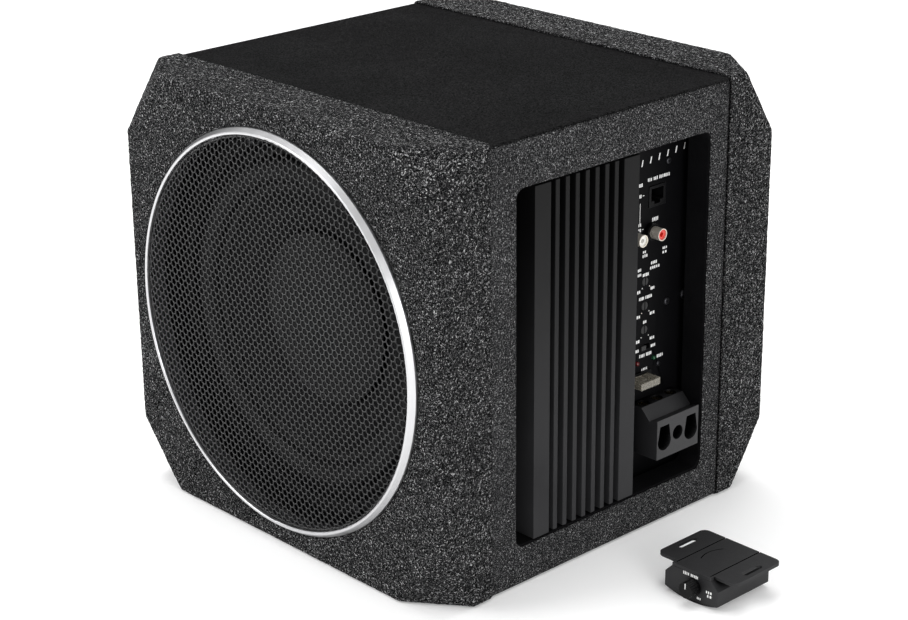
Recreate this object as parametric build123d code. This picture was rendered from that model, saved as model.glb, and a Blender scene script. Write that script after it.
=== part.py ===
from build123d import *
import math
import os

# Powered car subwoofer: a near-cube box with carpeted front and rear frames, a woofer at the front,
# a passive radiator at the rear, an amplifier in the right-hand wall and a wired level remote.
# Millimetres. X points right, Y points to the rear, Z points up. The origin is at the centre of the
# bottom. Each function returns one sub-part in its place.

# ---- the box ----
WIDTH = 306.0            # across the frames
DEPTH = 308.0            # front carpet face to rear carpet face
HEIGHT = 300.0
FACE = DEPTH / 2         # distance of each carpet face from the box's middle
CAP_DEPTH = 45.0         # how far each frame reaches back from its face
CUT_X, CUT_Y, CUT_Z = 41.0, 31.0, 48.0   # legs of each cut-off corner
CARPET = 2.5             # carpet on the frames
STEP = 2.0               # how far the walls stand in from the frames
SKIN = 2.0               # thin carpet on the walls
LID_SKIN = 1.5
BOARD = 15.0             # wall boards
AMP_BOARD = 18.0         # right-hand board, which carries the amplifier
EDGE_ROUND = 3.0
LID_ROUND = 1.2
WALL_Y = (CAP_DEPTH - FACE, FACE - CAP_DEPTH)
WALL_X = WIDTH / 2 - STEP                # outer face of the walls' skin
BOARD_X = WALL_X - SKIN                  # outer face of the side boards
LID_Z = HEIGHT - STEP                    # top of the lid's skin
BOARD_Z = LID_Z - LID_SKIN               # top of the lid's board
SIDE_Z = (SKIN + BOARD, BOARD_Z - BOARD)  # height range of the side boards

# ---- the wall opening for the amplifier ----
OPENING_Y = (-85.0, 92.0)
OPENING_Z = (27.5, 265.5)
OPENING_ROUND = 6.0

# ---- grille, on the drivers' axis; heights are measured outward from the box's middle ----
AXIS_Z = HEIGHT / 2
RING_OUTER, RING_INNER = 135.5, 131.2
RING_HEIGHT = 5.0        # how far the ring stands out of the carpet
RING_CREST = 133.0       # radius where the ring's flat front ends and its slope begins
RING_SHOULDER = 1.4      # height of the slope's foot over the carpet
RING_ROUND = 0.9
RING_SEAT = 8.0          # depth of the ring's seat in the board
RING_SEAT_RADIUS = 134.0
RING_PLAY = 0.2
LIP_INNER = 129.0        # lip behind the mesh
LIP = 1.6
MESH = 1.2

# ---- parts that both drivers share ----
DRIVER_SEAT = 122.0      # height of the driver's seat
SEAT_RADIUS = 130.0
THROUGH_RADIUS = 116.0
FLANGE_OUTER, FLANGE_INNER = 129.0, 110.0
FLANGE = 6.0
LEDGE = 2.0              # the surround's ledge inside the flange
RIM = DRIVER_SEAT + LEDGE                # height of the surround's underside
SURROUND = 1.2
SURROUND_OUTER, ROLL_OUTER, ROLL_INNER = 120.0, 112.0, 93.0
CONE_LAP = 6.0           # how far the surround reaches over the cone
SCREW_CIRCLE = 125.0
SCREW_COUNT = 8
SCREW_HOLE, SCREW_SHANK, SCREW_HEAD = 2.0, 1.95, 3.6
SCREW_REACH, SCREW_HEAD_HEIGHT = 12.0, 2.4

# ---- woofer: outlines are (radius, height) points ----
COIL_RADIUS = 26.0
POLE_RADIUS = 24.2
GAP_RADIUS = 28.3
PLATE_TOP, MAGNET_TOP, MAGNET_BACK, WOOFER_BACK = 45.0, 37.0, 19.0, 11.0
TOP_PLATE_RADIUS, BACK_PLATE_RADIUS, VENT_RADIUS = 56.0, 60.0, 8.0
MAGNET_RADII, MAGNET_CHAMFER = (34.0, 65.0), 1.0
BASKET_OUTLINE = (
    (115.5, 122.0), (115.5, 118.0), (97.0, 96.0), (66.0, 74.0), (62.0, 47.0), (GAP_RADIUS, 47.0),
    (GAP_RADIUS, PLATE_TOP), (64.0, PLATE_TOP), (68.0, 72.4), (99.0, 94.4), (115.5, 114.5),
    (115.9, 114.5), (115.9, 122.0),
)
BASKET_CORE = ((0, PLATE_TOP), (64.0, PLATE_TOP), (68.0, 72.4), (0, 72.4))
WINDOW_COUNT, WINDOW_FOOT, WINDOW_HEIGHT, WINDOW_LEAN, WINDOW_MIDDLE = 6, 46, 26, 112, 84
CONE_OUTLINE = (
    (ROLL_INNER, RIM), (ROLL_INNER, RIM - 1.0), (88.0, RIM - 1.2), (76.0, RIM - 9.0), (72.0, RIM - 9.0),
    (COIL_RADIUS, RIM - 36.0), (COIL_RADIUS, RIM - 34.6), (71.4, RIM - 7.8), (76.4, RIM - 7.8), (87.0, RIM),
)
DUST_CAP_RADIUS = 58.0
DUST_CAP_RIM = 111.1     # height of the dust cap's rim
DUST_CAP_DISH = 10.2     # depth of its dish
DUST_CAP_SKIN = 1.0
DUST_CAP_LIP, DUST_CAP_STEPS = 2.0, 8
FORMER = 0.8
FORMER_Z = (38.0, 89.0)
WINDING = 1.2
WINDING_Z = (38.0, 54.0)
SPIDER_OUTER, SPIDER_LEVEL, SPIDER_SKIN = 63.0, 73.2, 0.8
SPIDER_WAVES, SPIDER_WAVE_HEIGHT, SPIDER_LAND = 4, 2.0, 3.0

# ---- leads from the amplifier to the woofer's tags ----
TAG_ANGLE, TAG_ROOT, TAG_TIP, TAG_OFFSET, TAG_LEVEL = 60.0, 71.2, 80.0, 5.0, 60.0
TAG_SIZE = (4.8, 0.8)
TAG_STRIP = ((69.2, 72.2), 18.0, (52.0, 68.0))   # radial range, width, height range
TAG_FOOT = ((64.0, 70.0), 12.0, (54.0, 62.0))
WIRE_Y, WIRE_Z, WIRE_RADIUS, WIRE_BEND = 20.0, 232.0, 1.6, 9.0
WIRE_EXIT = 16.0         # straight run out of the amplifier's cover
WIRE_APPROACH = 14.0     # straight run onto each tag
WIRE_BOW = (8, 30, 6)    # where the long run starts from the approach

# ---- passive radiator ----
PASSIVE_OUTLINE = (
    (ROLL_INNER, RIM), (ROLL_INNER, RIM - 1.6), (88.0, RIM - 1.8), (64.0, RIM - 15.0),
    (0, RIM - 15.0), (0, RIM - 13.0), (63.4, RIM - 13.0), (87.0, RIM),
)
WEIGHT_RADIUS, WEIGHT_Z = 26.0, (RIM - 31.0, RIM - 15.0)
NUT_RADIUS, NUT_Z = 7.0, (RIM - 35.0, RIM - 31.0)
COLLAR_RADII, COLLAR_LAP = (100.0, 115.5), 0.5

# ---- amplifier, measured along X ----
PLATE_FRONT = 125.0      # outer face of the connector plate
PLATE = 3.0
PLATE_BACK = PLATE_FRONT - PLATE
TRAY_Y, TRAY_Z = (-92.0, 106.0), (21.0, 272.0)
TRAY_SHEET = 1.5
TRAY_FLANGE = 3.0        # how far the tray's flange reaches past its rim
SINK_FRONT = 150.0
SINK_BASE = 4.0
SINK_Y = (-69.4, 23.9)
SINK_Z = (28.5, 264.5)
SINK_RIB = 14.0
FIN_COUNT, FIN_PITCH, FIN_WIDTH, FIN_DROP = 7, 8.8, 3.6, 0.5
HOUSING_X = 92.0
HOUSING_Y, HOUSING_Z = (-80.0, 95.0), (28.0, 265.0)
HOUSING_SHEET = 1.2
CIRCUIT_X = (110.0, 111.6)
CIRCUIT_Y, CIRCUIT_Z = (-74.0, 90.0), (34.0, 259.0)
CAN_RADIUS, CAN_LENGTH = 7.5, 26.0
CAN_Y, CAN_Z = (-40.0, -8.0), (70.0, 92.0, 114.0)
TOROID_RADIUS, TOROID_TUBE, TOROID_Y, TOROID_Z = 15.0, 6.4, 50.0, 95.0
TRANSISTOR_SIZE = (4.5, 10.0, 15.0)
TRANSISTOR_Y, TRANSISTOR_Z = (-52.0, 10.0), (130.0, 150.0, 170.0, 190.0)
LEG, LEG_PITCH = 0.8, 2.5

# ---- jacks and controls on the connector plate ----
RCA_Y = (45.2, 63.6)
RCA_Z = 198.0
RCA_RADIUS, RCA_CORE, RCA_COLLAR, RCA_PIN_HOLE = 4.15, 3.6, 5.6, 1.65
RCA_BOSS, RCA_CORE_TOP, RCA_TOP = 3.5, 10.0, 11.0        # heights above the plate
RCA_CORE_FLOOR = 0.5
RCA_BODY_MARGIN = (7.0, 8.0)
SOCKET_Y, SOCKET_Z = 69.5, 221.5
SOCKET_SIZE, SOCKET_HOLE = (16.0, 14.5), (12.0, 8.4)
SOCKET_PROUD = 0.6
CONTROL_Y = 60.5
TRIMMER_Z = {"level": 163.3, "boost": 146.0, "crossover": 129.0}
TRIMMER_RADIUS, TRIMMER_SLOT, TRIMMER_SLOT_DEPTH, TRIMMER_SUNK = 2.9, 1.0, 1.4, 0.4
TRIMMER_CASE, TRIMMER_FLOOR = 12.0, 1.4
SWITCH_CASE, SWITCH_FLOOR = (16.0, 9.0), 2.4
SWITCH_Z = 116.8
SWITCH_TRAVEL = 4.0
THUMB_SIZE = (4.4, 3.2)  # along Y and Z
THUMB_PROUD = 1.6
SWITCH_FOOT, FOOT_SUNK = (7.6, 4.2), 4.0
LED_Y = {"power": 69.7, "protect": 53.3}
LED_Z, LED_RADIUS, LED_PROUD = 106.7, 1.5, 0.4
HEAD_RATIO, HEAD_ROUND = 0.6, 0.45       # a screw head's height and rounding against its radius
RECESS_ARM, RECESS_GAP, RECESS_LEVEL = 1.1, 0.6, 0.4
PLATE_SCREWS = (         # (y, z, head radius)
    (81.0, 144.4, 2.6), (98.5, 145.3, 3.6), (79.5, 243.0, 2.2), (74.5, 101.0, 1.8),
)

# ---- fuse ----
FUSE_Y, FUSE_Z = 54.0, 95.5
FUSE_SIZE = (19.0, 5.0)
FUSE_X = (PLATE_FRONT - 1.0, PLATE_FRONT + 12.5)
BLADE_SIZE, BLADE_OFFSET, BLADE_TIP = (5.2, 0.8), 5.6, PLATE_FRONT - 8.0
HOLDER_SIZE, HOLDER_PROUD, HOLDER_PLAY, HOLDER_FLOOR = (24.0, 9.0), 2.0, 0.4, 1.4
FUSE_DIP, FUSE_DIP_WIDTH, FUSE_DIP_LEVEL = 2.0, 6.4, 1.6

# ---- power terminal block ----
BLOCK_Y, BLOCK_Z = (46.7, 88.2), (46.0, 80.0)
BLOCK_FRONT = 150.5
LEDGE_X = 136.0          # front of the flat ledge that carries the screws
LIP_X, LIP_Z, VALLEY_Z = 143.3, 74.3, 72.4
PORT_PITCH = 13.3
PORT_Y = [sum(BLOCK_Y) / 2 + i * PORT_PITCH for i in (-1, 0, 1)]
PORT_Z = 60.6
PORT_BACK = PLATE_FRONT + 2.0
SMALL_PORT = 5.0
LARGE_PORT, LARGE_PORT_DROP, NECK, NECK_TOP = 6.5, 2.6, 9.0, 8.8
CLAMP_X = 131.0
CLAMP_RADIUS, CLAMP_HEAD, CLAMP_SLOT = 2.5, 3.8, 1.2
CLAMP_SUNK = (4.2, 1.2)  # depths of the head's two faces under the ledge
CLAMP_SLOT_DEPTH = 1.4
CLAMP_TIP_Z = 66.0

# ---- remote level control, lying to the right of the box ----
REMOTE_X = 240.0
REMOTE_Y = (-20.0, 30.5)
REMOTE_HALF = 21.75
REMOTE_TOP = 20.0
REMOTE_SIDE_Z = 3.6      # where the bowed underside meets the sides
REMOTE_CUT = 6.0
REMOTE_WALL = 2.0
REMOTE_CAVITY_HALF, REMOTE_FLOOR = 14.0, 4.6
BRACKET_HALF = 32.25
BRACKET_Y = (-16.0, 30.0)
BRACKET_TOP = 22.0
BRACKET_ROUND = 5.0
TONGUE_HALF = 15.7
SLOT_OFFSET, SLOT_WIDTH, SLOT_LENGTH = 26.75, 4.4, 17.5
SCORE_OFFSET, SCORE_WIDTH, SCORE_DEPTH = 14.0, 0.9, 0.9
ARC_MIDDLE, ARC_RADII = (11.0, -1.5), (19.1, 19.9)       # scored arc, from the plate's middle
ARC_WINDOW, ARC_WINDOW_SIZE = (-12.0, 1.0), (14.0, 23.0)
KNOB_X, KNOB_Z, KNOB_RADIUS, KNOB_LENGTH = 242.5, 11.5, 5.3, 8.5
KNOB_SHAFT, KNOB_SHAFT_LENGTH = 3.0, 8.0
KNOB_GAP, KNOB_COLLAR = 0.4, 1.6         # gap behind the knob, and its plain collar's end
POINTER_WIDTH, POINTER_DEPTH, POINTER_START = 0.8, 0.6, 0.8
FLUTE_COUNT, FLUTE_RADIUS = 20, 0.35
REMOTE_BOARD_HALF, REMOTE_BOARD_Z = 12.0, (4.8, 6.2)
POT_HALF, POT_DEPTH, POT_Z = 5.5, (4.0, 12.0), (6.0, 17.5)
REMOTE_JACK_SIZE, REMOTE_JACK_LENGTH, REMOTE_JACK_HOLE = (14.0, 11.0), 13.0, (9.8, 6.2)
REMOTE_JACK_Z = 11.7

FIT = 0.05               # radial clearance of a running fit
CLEAR = 0.3              # clearance of loose neighbours
FAR = 400.0              # longer than the object, for cutting tools
OVER = 1.0               # how far a cutting tool runs past a face


def block(x, y, z):
    """A box from its (low, high) range along each axis."""
    middle = Pos((x[0] + x[1]) / 2, (y[0] + y[1]) / 2, (z[0] + z[1]) / 2)
    return middle * Box(x[1] - x[0], y[1] - y[0], z[1] - z[0])


def around(middle, size):
    """The (low, high) range of a size about its middle."""
    return middle - size / 2, middle + size / 2


def shrunk(span, by):
    """A (low, high) range made smaller at both ends."""
    return span[0] + by, span[1] - by


def peg_x(x, y, z, radius):
    """A cylinder along X over the range x."""
    return Pos((x[0] + x[1]) / 2, y, z) * Rot(0, 90, 0) * Cylinder(radius, x[1] - x[0])


def peg_y(x, y, z, radius):
    """A cylinder along Y over the range y."""
    return Pos(x, (y[0] + y[1]) / 2, z) * Rot(90, 0, 0) * Cylinder(radius, y[1] - y[0])


def peg_z(x, y, z, radius):
    """A cylinder along Z over the range z."""
    return Pos(x, y, (z[0] + z[1]) / 2) * Cylinder(radius, z[1] - z[0])


def turned(*points):
    """A closed outline of (radius, height) points turned about Z."""
    return revolve(Plane.XZ * make_face(Polyline(*points, close=True)), Axis.Z)


def tube(radii, z):
    """A plain ring about Z between two radii over the range z."""
    return peg_z(0, 0, z, radii[1]) - peg_z(0, 0, (z[0] - OVER, z[1] + OVER), radii[0])


def at_front(shape):
    """Turns a shape built along +Z so that it faces the front, on the drivers' axis."""
    return Pos(0, 0, AXIS_Z) * Rot(90, 0, 0) * shape


def at_rear(shape):
    """Turns a shape built along +Z so that it faces the rear, on the drivers' axis."""
    return Pos(0, 0, AXIS_Z) * Rot(-90, 0, 0) * shape


def to_rear(shape):
    """Half a turn about the vertical: the front frame's parts serve at the rear too."""
    return Rot(0, 0, 180) * shape


# ---------------------------------------------------------------- enclosure

def cap_block(inset):
    """One frame's full outline with its four outer corners cut off, shrunk by inset."""
    half = WIDTH / 2
    body = block(shrunk((-half, half), inset), (inset - FACE, CAP_DEPTH - FACE), shrunk((0, HEIGHT), inset))
    tool = Box(FAR, FAR, FAR, align=(Align.CENTER, Align.CENTER, Align.MIN))
    for side in (-1, 1):
        for base, rise in ((0.0, CUT_Z), (HEIGHT, -CUT_Z)):
            a = Vector(side * (half - CUT_X), -FACE, base)
            b = Vector(side * half, CUT_Y - FACE, base)
            c = Vector(side * half, -FACE, base + rise)
            normal = (b - a).cross(c - a).normalized()
            if normal.dot(Vector(side, -1, 0)) < 0:
                normal = -normal
            body -= Plane(origin=a - normal * inset, z_dir=normal) * tool
    return body


def cap_carpet():
    """Carpet over the frame's face, sides and cut corners, with the hole for the ring."""
    outside = cap_block(0)
    edges = [e for e in outside.edges() if e.center().Y < CAP_DEPTH - FACE - 0.01]
    outside = fillet(edges, EDGE_ROUND)
    return outside - cap_block(CARPET) - at_front(peg_z(0, 0, (0, FAR), RING_SEAT_RADIUS))


def cap_frame():
    """The frame's board, with the ring's seat, the driver's seat and the driver's hole."""
    ring_seat = peg_z(0, 0, (FACE - CARPET - RING_SEAT, FAR), RING_SEAT_RADIUS)
    driver_seat = peg_z(0, 0, (DRIVER_SEAT, FAR), SEAT_RADIUS)
    through = peg_z(0, 0, (0, FAR), THROUGH_RADIUS)
    return cap_block(CARPET) - at_front(ring_seat + driver_seat + through)


def amp_opening():
    """Cutting tool for the amplifier's opening: a round-cornered bar along X."""
    section = RectangleRounded(OPENING_Y[1] - OPENING_Y[0], OPENING_Z[1] - OPENING_Z[0], OPENING_ROUND)
    return extrude(Plane.YZ * Pos(sum(OPENING_Y) / 2, sum(OPENING_Z) / 2) * section, FAR)


def top_panel():
    return block((-BOARD_X, BOARD_X), WALL_Y, (BOARD_Z - BOARD, BOARD_Z))


def bottom_panel():
    return block((-BOARD_X, BOARD_X), WALL_Y, (SKIN, SKIN + BOARD))


def left_panel():
    return block((-BOARD_X, BOARD - BOARD_X), WALL_Y, SIDE_Z)


def right_panel():
    return block((BOARD_X - AMP_BOARD, BOARD_X), WALL_Y, SIDE_Z) - amp_opening()


def top_cover():
    """The smooth lid skin, softened along its two long edges."""
    sheet = block((-WALL_X, WALL_X), WALL_Y, (BOARD_Z, LID_Z))
    edges = [e for e in sheet.edges().filter_by(Axis.Y) if e.center().Z > LID_Z - 0.1]
    return fillet(edges, LID_ROUND)


def body_carpet():
    """The walls' and the bottom's thin carpet, in one U-shaped wrap, with the amplifier's opening."""
    wrap = block((-WALL_X, WALL_X), WALL_Y, (0, BOARD_Z))
    edges = [e for e in wrap.edges().filter_by(Axis.Y) if e.center().Z < 0.1]
    wrap = fillet(edges, EDGE_ROUND)
    inside = block((-BOARD_X, BOARD_X), shrunk(WALL_Y, -OVER), (SKIN, HEIGHT))
    return wrap - inside - amp_opening()


# ---------------------------------------------------------------- grille

def grille_ring():
    """Satin ring: a rounded bead on the carpet, a skirt in the board and a lip behind the mesh."""
    foot, front = FACE - CARPET - RING_SEAT, FACE + RING_HEIGHT
    skirt = RING_SEAT_RADIUS - RING_PLAY
    bead = turned(
        (RING_INNER, foot), (RING_INNER, front), (RING_CREST, front), (RING_OUTER, FACE + RING_SHOULDER),
        (RING_OUTER, FACE), (skirt, FACE), (skirt, foot),
    )
    edges = [e for e in bead.edges() if e.center().Z > FACE + RING_SHOULDER - 0.01]
    return fillet(edges, RING_ROUND) + tube((LIP_INNER, RING_INNER), (FACE, FACE + LIP))


def grille_mesh():
    """The mesh disc's full outline, resting on the ring's lip."""
    return peg_z(0, 0, (FACE + LIP, FACE + LIP + MESH), RING_INNER)


# ---------------------------------------------------------------- both drivers, built along +Z

def screw_ring(z, radius):
    """Cylinders at the flange's screw positions."""
    angles = [360 / SCREW_COUNT * (i + 0.5) for i in range(SCREW_COUNT)]
    return [Rot(0, 0, a) * peg_z(SCREW_CIRCLE, 0, z, radius) for a in angles]


def flange():
    """Outer rim of a driver's frame, with the surround's ledge inside it."""
    step = SURROUND_OUTER + CLEAR
    top = DRIVER_SEAT + FLANGE
    return turned(
        (FLANGE_INNER, DRIVER_SEAT), (FLANGE_OUTER, DRIVER_SEAT), (FLANGE_OUTER, top), (step, top),
        (step, RIM), (FLANGE_INNER, RIM),
    )


def drilled(frame):
    """The frame with its flange's screw holes."""
    for hole in screw_ring((DRIVER_SEAT - OVER, DRIVER_SEAT + FLANGE + OVER), SCREW_HOLE):
        frame -= hole
    return frame


def surround():
    """Half-roll surround: two flat lands and a rounded roll between them."""
    middle, outer = (ROLL_OUTER + ROLL_INNER) / 2, (ROLL_OUTER - ROLL_INNER) / 2
    half = SURROUND / 2
    lands = tube((ROLL_OUTER - half, SURROUND_OUTER), (RIM, RIM + SURROUND))
    lands += tube((ROLL_INNER - CONE_LAP, ROLL_INNER + half), (RIM, RIM + SURROUND))
    section = Pos(middle, RIM) * (Circle(outer) - Circle(outer - SURROUND))
    section &= Pos(middle, RIM + outer / 2) * Rectangle(2 * outer + OVER, outer)
    return lands + revolve(Plane.XZ * section, Axis.Z)


def driver_screws():
    """Pan-head screws through both drivers' flanges."""
    top = DRIVER_SEAT + FLANGE
    shanks = screw_ring((DRIVER_SEAT - SCREW_REACH, top), SCREW_SHANK)
    heads = screw_ring((top, top + SCREW_HEAD_HEIGHT), SCREW_HEAD)
    one_set = [s + h for s, h in zip(shanks, heads)]
    return Compound([at_front(s) for s in one_set] + [at_rear(s) for s in one_set])


# ---------------------------------------------------------------- woofer, built along +Z

def woofer_basket():
    """Pressed frame: flange, tapering wall with windows, and the seat for the magnet."""
    wall = turned(*BASKET_OUTLINE)
    outline = Trapezoid(WINDOW_FOOT, WINDOW_HEIGHT, WINDOW_LEAN)
    window = extrude(Plane.YZ * Pos(0, WINDOW_MIDDLE) * outline, FAR)
    for i in range(WINDOW_COUNT):
        wall -= Rot(0, 0, 360 / WINDOW_COUNT * (i + 0.5)) * window
    return drilled(flange() + wall)


def woofer_cone():
    """Paper cone with a raised step, from the surround down to the coil former."""
    return turned(*CONE_OUTLINE)


def dust_cap():
    """Wide dished cap over the middle of the cone."""
    flat = DUST_CAP_RADIUS - DUST_CAP_LIP
    radii = [flat * i / DUST_CAP_STEPS for i in range(DUST_CAP_STEPS + 1)]
    under = [(r, DUST_CAP_RIM - DUST_CAP_DISH * (1 - (r / DUST_CAP_RADIUS) ** 2)) for r in radii]
    upper = [(r, z + DUST_CAP_SKIN) for r, z in reversed(under)]
    rim = DUST_CAP_RIM + 0.4
    lip = [(DUST_CAP_RADIUS, rim), (DUST_CAP_RADIUS, rim + DUST_CAP_SKIN)]
    return turned(*(under + lip + upper))


def voice_coil():
    """Former and winding."""
    former = tube((COIL_RADIUS - FORMER, COIL_RADIUS), FORMER_Z)
    return former + tube((COIL_RADIUS - 0.1, COIL_RADIUS + WINDING), WINDING_Z)


def spider():
    """Corrugated suspension between the former and the basket's shoulder."""
    inner = COIL_RADIUS + 0.1
    first, last = inner + SPIDER_LAND, SPIDER_OUTER - 2 * SPIDER_LAND
    crests = 2 * SPIDER_WAVES
    line = [(inner, 0.0), (first, 0.0)]
    for i in range(crests):
        line.append((first + (last - first) * (i + 0.5) / crests, SPIDER_WAVE_HEIGHT * (-1) ** i))
    line += [(last, 0.0), (SPIDER_OUTER, 0.0)]
    upper = [(r, SPIDER_LEVEL + z + SPIDER_SKIN / 2) for r, z in line]
    lower = [(r, SPIDER_LEVEL + z - SPIDER_SKIN / 2) for r, z in reversed(line)]
    return turned(*(upper + lower))


def top_plate():
    return tube((GAP_RADIUS, TOP_PLATE_RADIUS), (MAGNET_TOP, PLATE_TOP))


def magnet():
    """Ferrite ring with softened edges."""
    ring = tube(MAGNET_RADII, (MAGNET_BACK, MAGNET_TOP))
    outer = ring.edges().filter_by(GeomType.CIRCLE).sort_by(SortBy.RADIUS)[-2:]
    return chamfer(outer, MAGNET_CHAMFER)


def back_plate():
    """Back plate and vented pole in one piece."""
    plate = peg_z(0, 0, (WOOFER_BACK, MAGNET_BACK), BACK_PLATE_RADIUS)
    pole = peg_z(0, 0, (WOOFER_BACK, PLATE_TOP + OVER), POLE_RADIUS)
    return plate + pole - peg_z(0, 0, (0, FAR), VENT_RADIUS)


def woofer_terminals():
    """Tag strip on the basket's wall, with its two spade tags."""
    plates = [block(x, around(0, width), z) for x, width, z in (TAG_STRIP, TAG_FOOT)]
    strip = plates[0] + plates[1] - turned(*BASKET_CORE)
    for y in (-TAG_OFFSET, TAG_OFFSET):
        strip += block((TAG_ROOT, TAG_TIP), around(y, TAG_SIZE[0]), around(TAG_LEVEL, TAG_SIZE[1]))
    return Rot(0, 0, TAG_ANGLE) * strip


def speaker_wires():
    """Two leads from the amplifier's cover to the woofer's tags, each one a run of gentle bends."""
    angle = math.radians(TAG_ANGLE)
    outward = Vector(math.cos(angle), 0, math.sin(angle))
    across = Vector(-math.sin(angle), 0, math.cos(angle))
    leads = []
    for side in (-1, 1):
        tip = Vector(0, -TAG_LEVEL, AXIS_Z) + outward * TAG_TIP + across * (side * TAG_OFFSET)
        turn = tip + outward * WIRE_APPROACH
        start = Vector(HOUSING_X, WIRE_Y + side * TAG_OFFSET, WIRE_Z)
        points = [start, start - Vector(WIRE_EXIT, 0, 0), turn + Vector(*WIRE_BOW), turn, tip]
        path = FilletPolyline(*points, radius=WIRE_BEND)
        leads.append(sweep(Plane(origin=path @ 0, z_dir=path % 0) * Circle(WIRE_RADIUS), path))
    return Compound(leads)


# ---------------------------------------------------------------- passive radiator, built along +Z

def passive_frame():
    """Flange with a short collar behind it."""
    return drilled(flange() + tube(COLLAR_RADII, (FLANGE_INNER, DRIVER_SEAT + COLLAR_LAP)))


def passive_cone():
    """Stiff shallow cone with a flat middle and a weight bolted behind it."""
    return turned(*PASSIVE_OUTLINE) + peg_z(0, 0, WEIGHT_Z, WEIGHT_RADIUS) + peg_z(0, 0, NUT_Z, NUT_RADIUS)


# ---------------------------------------------------------------- amplifier

def plate_cutouts():
    """Cutting tools for everything that comes through the connector plate."""
    span = (PLATE_BACK - OVER, PLATE_FRONT + OVER)
    tools = [peg_x(span, y, RCA_Z, RCA_COLLAR + 0.1) for y in RCA_Y]
    tools += [peg_x(span, CONTROL_Y, z, TRIMMER_RADIUS + 0.4) for z in TRIMMER_Z.values()]
    tools += [peg_x(span, y, LED_Z, LED_RADIUS + 0.1) for y in LED_Y.values()]
    window = (THUMB_SIZE[0] + SWITCH_TRAVEL + 2.0, THUMB_SIZE[1] + 0.8)
    for y, z, size in (
        (SOCKET_Y, SOCKET_Z + 0.1, (SOCKET_SIZE[0] + CLEAR, SOCKET_SIZE[1] + CLEAR)),
        (CONTROL_Y, SWITCH_Z, window),
        (FUSE_Y, FUSE_Z, (HOLDER_SIZE[0] + 0.2, HOLDER_SIZE[1] + 0.2)),
    ):
        tools.append(block(span, around(y, size[0]), around(z, size[1])))
    return tools


def amp_plate():
    """Shallow tray behind the opening: connector plate, rim and a flange on the board's inner face."""
    rim = BOARD_X - AMP_BOARD
    inner_y, inner_z = shrunk(TRAY_Y, TRAY_SHEET), shrunk(TRAY_Z, TRAY_SHEET)
    tray = block((PLATE_BACK, rim), TRAY_Y, TRAY_Z) - block((PLATE_FRONT, rim + OVER), inner_y, inner_z)
    edge = block((rim - TRAY_SHEET, rim), shrunk(TRAY_Y, -TRAY_FLANGE), shrunk(TRAY_Z, -TRAY_FLANGE))
    edge -= block((rim - FAR, rim + OVER), inner_y, inner_z)
    plate = tray + edge
    for tool in plate_cutouts():
        plate -= tool
    return plate


def heatsink():
    """Finned extrusion: a base, two wide ribs and the fins between them."""
    sink = block((PLATE_FRONT, PLATE_FRONT + SINK_BASE), SINK_Y, SINK_Z)
    sink += block((PLATE_FRONT, SINK_FRONT), (SINK_Y[0], SINK_Y[0] + SINK_RIB), SINK_Z)
    sink += block((PLATE_FRONT, SINK_FRONT), (SINK_Y[1] - SINK_RIB, SINK_Y[1]), SINK_Z)
    for i in range(FIN_COUNT):
        y = sum(SINK_Y) / 2 + (i - (FIN_COUNT - 1) / 2) * FIN_PITCH
        sink += block((PLATE_FRONT, SINK_FRONT - FIN_DROP), around(y, FIN_WIDTH), SINK_Z)
    return sink


def amp_housing():
    """Sheet cover behind the plate that seals the electronics from the box."""
    shell = block((HOUSING_X, PLATE_BACK), HOUSING_Y, HOUSING_Z)
    inside = shrunk(HOUSING_Y, HOUSING_SHEET), shrunk(HOUSING_Z, HOUSING_SHEET)
    return shell - block((HOUSING_X + HOUSING_SHEET, FAR), *inside)


def circuit_board():
    return block(CIRCUIT_X, CIRCUIT_Y, CIRCUIT_Z)


def capacitors():
    """Rows of electrolytic cans lying on the board's inner side."""
    level = CIRCUIT_X[0] - CAN_RADIUS - 0.1
    return Compound([peg_y(level, around(y, CAN_LENGTH), z, CAN_RADIUS) for z in CAN_Z for y in CAN_Y])


def toroid():
    """Converter transformer, lying flat on the board."""
    level = CIRCUIT_X[0] - TOROID_TUBE - 0.2
    return Pos(level, TOROID_Y, TOROID_Z) * Rot(0, 90, 0) * Torus(TOROID_RADIUS, TOROID_TUBE)


def transistors():
    """Power transistors clamped behind the heatsink, with their legs in the board."""
    thick, wide, tall = TRANSISTOR_SIZE
    parts = []
    for z in TRANSISTOR_Z:
        for y in TRANSISTOR_Y:
            body = block((PLATE_BACK - thick, PLATE_BACK), around(y, wide), around(z, tall))
            for offset in (-LEG_PITCH, 0, LEG_PITCH):
                run = (CIRCUIT_X[1], PLATE_BACK - thick + LEG)
                body += block(run, around(y + offset, LEG), around(z - tall / 2 + LEG, LEG))
            parts.append(body)
    return Compound(parts)


# ---------------------------------------------------------------- jacks and controls

def rca_body():
    """Moulded block behind the plate with a boss through the plate for each jack."""
    margin_y, margin_z = RCA_BODY_MARGIN
    body = block((CIRCUIT_X[1], PLATE_BACK), shrunk(RCA_Y, -margin_y), around(RCA_Z, 2 * margin_z))
    for y in RCA_Y:
        body += peg_x((PLATE_BACK, PLATE_FRONT + RCA_BOSS), y, RCA_Z, RCA_COLLAR)
    return body


def rca_insert(y):
    """Coloured core of one jack, with the hole for the plug's pin."""
    foot = PLATE_FRONT + RCA_BOSS
    core = peg_x((foot, PLATE_FRONT + RCA_CORE_TOP), y, RCA_Z, RCA_CORE)
    return core - peg_x((foot + RCA_CORE_FLOOR, FAR), y, RCA_Z, RCA_PIN_HOLE)


def rca_shells():
    """Outer contact of each jack, standing on its boss."""
    span = (PLATE_FRONT + RCA_BOSS, PLATE_FRONT + RCA_TOP)
    return Compound([peg_x(span, y, RCA_Z, RCA_RADIUS) - peg_x((0, FAR), y, RCA_Z, RCA_CORE) for y in RCA_Y])


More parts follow.
